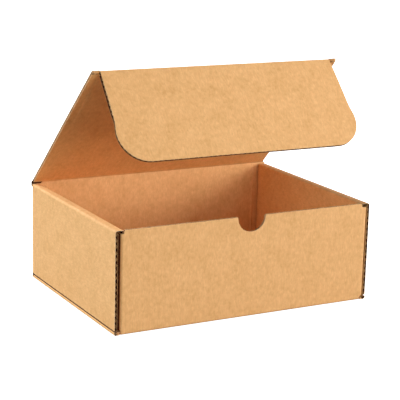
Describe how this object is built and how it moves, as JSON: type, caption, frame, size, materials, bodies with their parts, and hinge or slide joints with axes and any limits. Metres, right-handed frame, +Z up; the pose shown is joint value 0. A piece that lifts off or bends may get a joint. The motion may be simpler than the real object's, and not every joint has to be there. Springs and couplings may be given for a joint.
{
  "type": "corrugated mailer box",
  "caption": "Plain brown corrugated mailer box with roll-over side walls, a hinged lid whose rounded flap tucks in, and a thumb notch in the front wall.",
  "frame": {"origin": "middle of the underside, at the height of the surface that the box stands on", "axes": "+X to the right along the front wall, +Y from the front wall to the rear wall with the hinge, +Z up"},
  "size_m": [0.301, 0.222, 0.2552],
  "materials": {
    "kraft_board": "matte"
  },
  "bodies": {
    "tray": {"tray": "kraft_board"},
    "lid": {"lid": "kraft_board"},
    "tuck_flap": {"tuck_flap": "kraft_board"}
  },
  "joints": [
    {"name": "lid_hinge", "type": "hinge", "parent": "tray", "child": "lid", "pos_m": [0, 0.1095, 0.1098], "axis": [-1, 0, 0], "range_deg": [-43, 137]},
    {"name": "tuck_fold", "type": "hinge", "parent": "lid", "child": "tuck_flap", "pos_m": [0, -0.04482, 0.2537], "axis": [-1, 0, 0], "range_deg": [-19.5, 62]}
  ],
  "couplings": [
    {"joint": "tuck_fold", "follows": "lid_hinge", "ratio": 0.45}
  ]
}
